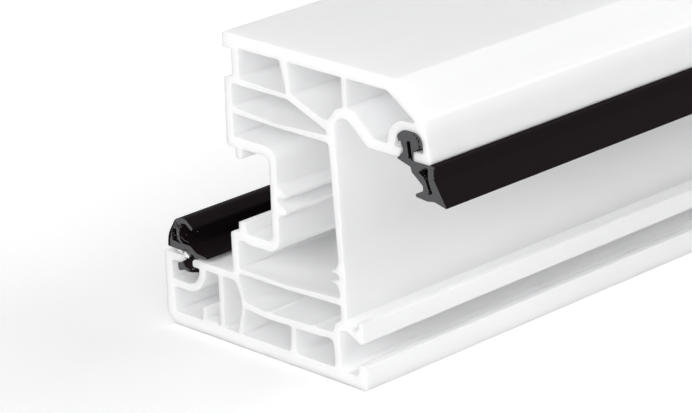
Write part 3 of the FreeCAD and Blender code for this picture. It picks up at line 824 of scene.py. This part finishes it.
def gasket_piece(node, name, cut, context):
    """A gasket with its torn cut, and a piece for the crumbs, threads and specks that the knife left."""
    settings = context.scene.sash_cut
    dice = random.Random(settings.seed)
    outlines = section_outlines(node)
    around = tree_of([finer(loop, SEAT_HAIR) for loop in section_outlines("sash_profile")])
    mesh = gasket_mesh(outlines, around, settings.gasket_tear, cut, settings.seed)
    surface = BVHTree.FromBMesh(mesh)
    as_piece(name, mesh, ["Black rubber", "Cut black rubber"], [node])
    loose = bmesh.new()
    rim = [point for loop in outlines[1:] for point in finer(loop, OUTLINE_STEP)]
    for middle, spread, count in cut["crumbs"]:
        crumbs_along(loose, rim, middle, spread, count, dice)
    for thread in cut["threads"]:
        depths = [CUT_END + (THREAD_DEPTH + THREAD_WEAVE * (i % 2)) * MM for i in range(len(thread))]
        strand(loose, [(x * MM, y, z * MM) for (x, z), y in zip(thread, depths)])
    camera = BAR_FOOT + Vector(context.scene.sash_stage.camera_place)
    specks_seen_at(loose, surface, camera, cut["specks"], settings.speck_size)
    as_piece(name + "_crumbs", loose, ["Cut black rubber", "Sawn white plastic"])


class SASH_OT_gaskets(bpy.types.Operator):
    """Builds the glazing gasket and the overlap gasket, each with its knife-cut ends"""
    bl_idname = "sash.gaskets"
    bl_label = "Gaskets"

    def execute(self, context):
        gasket_piece("glazing_gasket", "glazing_seal", GLAZING_CUT, context)
        gasket_piece("overlap_gasket", "overlap_seal", OVERLAP_CUT, context)
        return {"FINISHED"}


# Chips left by the saw: a line on the sawn end from place to place and its half width, then how many chips
# and the smallest and largest of them, all in millimetres
BURRS = (
    (((-30.85, 14.75), (-29.9, 14.15)), 0.28, 24, (0.2, 0.6)),
    (((-32.2, 15.05), (-31.3, 14.8)), 0.12, 9, (0.15, 0.45)),
    (((-33.9, 0.5), (-33.3, 0.2)), 0.05, 7, (0.1, 0.25)),
)


class SASH_OT_burrs(bpy.types.Operator):
    """Adds the chips of plastic that the saw left on the overlap flange"""
    bl_idname = "sash.burrs"
    bl_label = "Saw burrs"

    def execute(self, context):
        mesh = bmesh.new()
        settings = context.scene.sash_cut
        dice = random.Random(settings.seed)
        for (start, end), spread, count, (smallest, largest) in BURRS:
            for number in range(count):
                middle = Vector(start).lerp(Vector(end), dice.random())
                middle += Vector((dice.uniform(-spread, spread), dice.uniform(-spread, spread)))
                half_width = dice.uniform(smallest, largest) / 2 * MM
                half_height = dice.uniform(smallest, largest) / 2 * MM
                depth = dice.uniform(0, settings.burr_thickness)
                place = (middle.x * MM, CUT_END + depth, middle.y * MM)
                half_sizes = (half_width, settings.burr_thickness / 2, half_height)
                crumb(mesh, place, half_sizes, number + 0.5, SKIN)
        as_piece("saw_burrs", mesh, ["Plastic chips"])
        return {"FINISHED"}


# Studio

def look_along(heading, fall, roll):
    """The camera's turn for a heading from along the bar, a fall below level and a roll."""
    level = math.cos(fall)
    ahead = Vector((math.sin(heading) * level, math.cos(heading) * level, -math.sin(fall)))
    right = Vector((math.cos(heading), -math.sin(heading), 0))
    up = right.cross(ahead)
    turned_right = math.cos(roll) * right + math.sin(roll) * up
    turned_up = -math.sin(roll) * right + math.cos(roll) * up
    return Matrix((turned_right, turned_up, -ahead)).transposed()


def broad_light(name, around, up, strength):
    """A broad distant light from a direction round the sawn end, so that the whole length is lit evenly."""
    light = bpy.data.lights.new(name, "SUN")
    light.energy = strength
    light.angle = LIGHT_BREADTH
    holder = bpy.data.objects.new(name, light)
    holder.rotation_euler = (math.radians(90 - up), 0, math.radians(around))
    bpy.context.scene.collection.objects.link(holder)


def seen_rays(tree):
    """A node that gives 1 to the rays of the camera, reflections and transmission, and 0 to the rest."""
    path = put(tree, "ShaderNodeLightPath", (-900, 300))
    seen = put(tree, "ShaderNodeMath", (-680, 300), operation="MAXIMUM")
    seen_too = put(tree, "ShaderNodeMath", (-480, 300), operation="MAXIMUM")
    tree.links.new(path.outputs["Is Camera Ray"], seen.inputs[0])
    tree.links.new(path.outputs["Is Glossy Ray"], seen.inputs[1])
    tree.links.new(seen.outputs["Value"], seen_too.inputs[0])
    tree.links.new(path.outputs["Is Transmission Ray"], seen_too.inputs[1])
    return seen_too


def white_to_camera(tree, surface, strength):
    """Adds a white glow that only the camera and reflections see, over a surface shader."""
    link = tree.links.new
    amount = put(tree, "ShaderNodeMath", (-300, 300), operation="MULTIPLY")
    amount.inputs[1].default_value = strength
    glow = put(tree, "ShaderNodeEmission", (-120, 200))
    both = put(tree, "ShaderNodeAddShader", (80, 100))
    link(seen_rays(tree).outputs["Value"], amount.inputs[0])
    link(amount.outputs["Value"], glow.inputs["Strength"])
    link(surface.outputs[0], both.inputs[0])
    link(glow.outputs["Emission"], both.inputs[1])
    return both


def studio_floor(settings):
    """A wide pale floor that keeps the bar's shadow."""
    mesh = bmesh.new()
    bmesh.ops.create_grid(mesh, x_segments=8, y_segments=8, size=FLOOR_REACH)
    data = bpy.data.meshes.new("studio_floor")
    mesh.to_mesh(data)
    mesh.free()
    floor = bpy.data.objects.new("studio_floor", data)
    bpy.context.scene.collection.objects.link(floor)
    floor.location = (0, 0, CAD_BOX[0].z - FLOOR_GAP)
    material = bpy.data.materials.new("Studio floor")
    material.use_nodes = True
    tree = material.node_tree
    tree.nodes.clear()
    matt = put(tree, "ShaderNodeBsdfDiffuse", (-120, 0), Color=(*settings.floor_colour, 1))
    out = put(tree, "ShaderNodeOutputMaterial", (300, 100))
    tree.links.new(white_to_camera(tree, matt, settings.floor_glow).outputs[0], out.inputs["Surface"])
    data.materials.append(material)


def studio_sky(settings):
    """An even light from all round, plain white where the camera and reflections see it."""
    world = bpy.data.worlds.new("Studio")
    bpy.context.scene.world = world
    world.use_nodes = True
    tree = world.node_tree
    tree.nodes.clear()
    even = put(tree, "ShaderNodeBackground", (-200, 100), Color=(1, 1, 1, 1), Strength=settings.sky)
    white = put(tree, "ShaderNodeBackground", (-200, -100), Color=(1, 1, 1, 1), Strength=1.0)
    choose = put(tree, "ShaderNodeMixShader", (40, 0))
    out = put(tree, "ShaderNodeOutputWorld", (240, 0))
    tree.links.new(seen_rays(tree).outputs["Value"], choose.inputs[0])
    tree.links.new(even.outputs[0], choose.inputs[1])
    tree.links.new(white.outputs[0], choose.inputs[2])
    tree.links.new(choose.outputs[0], out.inputs["Surface"])


class SASH_OT_stage(bpy.types.Operator):
    """Sets the floor, the lamps and the camera"""
    bl_idname = "sash.stage"
    bl_label = "Stage"

    def execute(self, context):
        scene = context.scene
        stage = scene.sash_stage
        studio_floor(stage)
        studio_sky(stage)
        for name, around, up, strength in LIGHTS:
            broad_light(name, around, up, strength)
        camera = bpy.data.cameras.new("Camera")
        camera.lens = stage.lens
        camera.sensor_width = SENSOR
        camera.clip_start, camera.clip_end = CAMERA_RANGE
        holder = bpy.data.objects.new("Camera", camera)
        scene.collection.objects.link(holder)
        turn = look_along(stage.heading, stage.fall, stage.roll).to_4x4()
        holder.matrix_world = Matrix.Translation(BAR_FOOT + Vector(stage.camera_place)) @ turn
        scene.camera = holder
        scene.view_settings.view_transform = "Standard"
        return {"FINISHED"}


class SASH_PT_panel(bpy.types.Panel):
    """The sash profile's settings and its build steps"""
    bl_idname = "SASH_PT_panel"
    bl_label = "Sash profile"
    bl_space_type = "VIEW_3D"
    bl_region_type = "UI"
    bl_category = "Sash"

    def draw(self, context):
        scene = context.scene
        for settings in (scene.sash_finish, scene.sash_cut, scene.sash_stage):
            box = self.layout.box()
            for label in settings.bl_rna.properties.keys():
                if label not in ("rna_type", "name"):
                    box.prop(settings, label)
        for operator in BUILD_STEPS:
            self.layout.operator(operator.bl_idname)


SETTINGS = {
    "sash_finish": SashFinishSettings,
    "sash_cut": SashCutSettings,
    "sash_stage": SashStageSettings,
}
BUILD_STEPS = (SASH_OT_finishes, SASH_OT_profile, SASH_OT_gaskets, SASH_OT_burrs, SASH_OT_stage)


def register():
    """Registers the settings, the build steps and the panel."""
    for cls in (*SETTINGS.values(), *BUILD_STEPS, SASH_PT_panel):
        bpy.utils.register_class(cls)
    for name, settings in SETTINGS.items():
        setattr(bpy.types.Scene, name, PointerProperty(type=settings))


def unregister():
    """Takes the panel, the build steps and the settings away again."""
    for name in SETTINGS:
        delattr(bpy.types.Scene, name)
    for cls in (SASH_PT_panel, *BUILD_STEPS[::-1], *list(SETTINGS.values())[::-1]):
        bpy.utils.unregister_class(cls)


def main():
    """Builds everything in order."""
    register()
    bpy.ops.sash.finishes()
    bpy.ops.sash.profile()
    bpy.ops.sash.gaskets()
    bpy.ops.sash.burrs()
    bpy.ops.sash.stage()
    bpy.context.view_layer.update()


if __name__ == "__main__":
    main()
